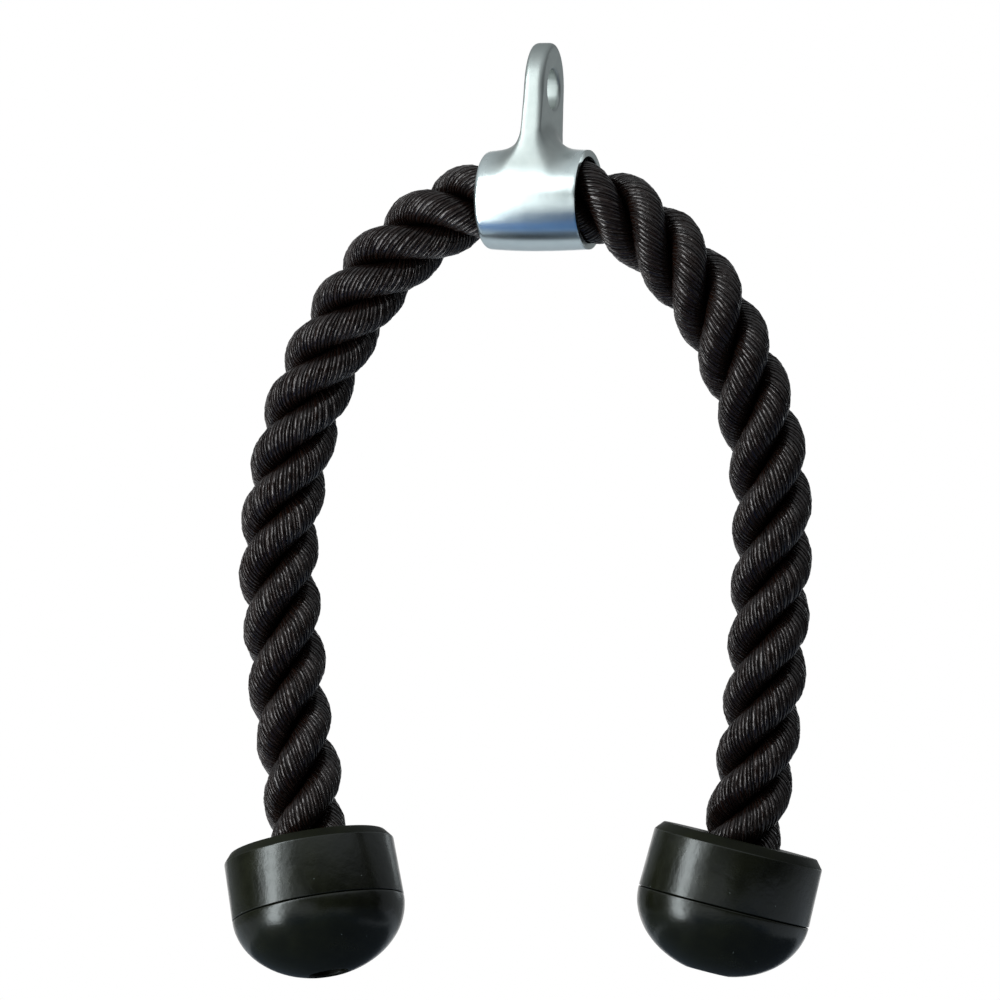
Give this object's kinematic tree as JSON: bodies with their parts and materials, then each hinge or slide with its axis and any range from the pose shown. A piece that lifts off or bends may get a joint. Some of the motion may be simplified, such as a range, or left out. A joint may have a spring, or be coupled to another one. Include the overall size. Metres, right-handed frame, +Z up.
{
  "type": "triceps rope attachment",
  "caption": "Thick laid rope bent through a cast eyelet collar, with a round rubber stopper fixed on each end, for a cable machine.",
  "frame": {"origin": "centre of the eye in the collar's ear, which the cable's snap hook goes through", "axes": "+X along the eye's bore and the collar's tube, towards the right stopper; +Y to the back; +Z up, from the rope's ends to the eye"},
  "size_m": [0.2413, 0.0752, 0.3677],
  "materials": {
    "cast_aluminium": "satin, tumbled after casting",
    "black_rope": "glossy nylon filament yarns",
    "moulded_rubber": "semi-gloss, as moulded",
    "zinc_plated_steel": "bright zinc plate",
    "crimped_aluminium": "drawn tube, crimped",
    "melted_rope": "melted and set",
    "black_steel": "black oxide"
  },
  "bodies": {
    "collar": {"eyelet_collar": "cast_aluminium"},
    "rope": {"rope_strand_a": "black_rope", "rope_strand_b": "black_rope", "rope_strand_c": "black_rope"},
    "left_end": {"left_upper_shell": "moulded_rubber", "left_dome": "moulded_rubber", "left_thrust_washer": "zinc_plated_steel", "left_crimp_ferrule": "crimped_aluminium", "left_fused_end": "melted_rope", "left_screw_washer": "zinc_plated_steel", "left_retaining_screw": "black_steel"},
    "right_end": {"right_upper_shell": "moulded_rubber", "right_dome": "moulded_rubber", "right_thrust_washer": "zinc_plated_steel", "right_crimp_ferrule": "crimped_aluminium", "right_fused_end": "melted_rope", "right_screw_washer": "zinc_plated_steel", "right_retaining_screw": "black_steel"}
  },
  "joints": [
    {"name": "rope_swivel", "type": "hinge", "parent": "collar", "child": "rope", "pos_m": [0, -0.00707, -0.04363], "axis": [1, 0, 0], "continuous": true},
    {"name": "left_leg_flex", "type": "hinge", "parent": "rope", "child": "left_end", "pos_m": [-0.05521, -0.00702, -0.06126], "axis": [0, 1, 0], "range_deg": [-10, 35], "stiffness_Nm_per_rad": 3, "springref_deg": 1.09, "deforming": ["rope_strand_a", "rope_strand_b", "rope_strand_c"]},
    {"name": "right_leg_flex", "type": "hinge", "parent": "rope", "child": "right_end", "pos_m": [0.05348, -0.00699, -0.06452], "axis": [0, -1, 0], "range_deg": [-10, 35], "stiffness_Nm_per_rad": 3, "springref_deg": 0.7, "deforming": ["rope_strand_a", "rope_strand_b", "rope_strand_c"]}
  ]
}
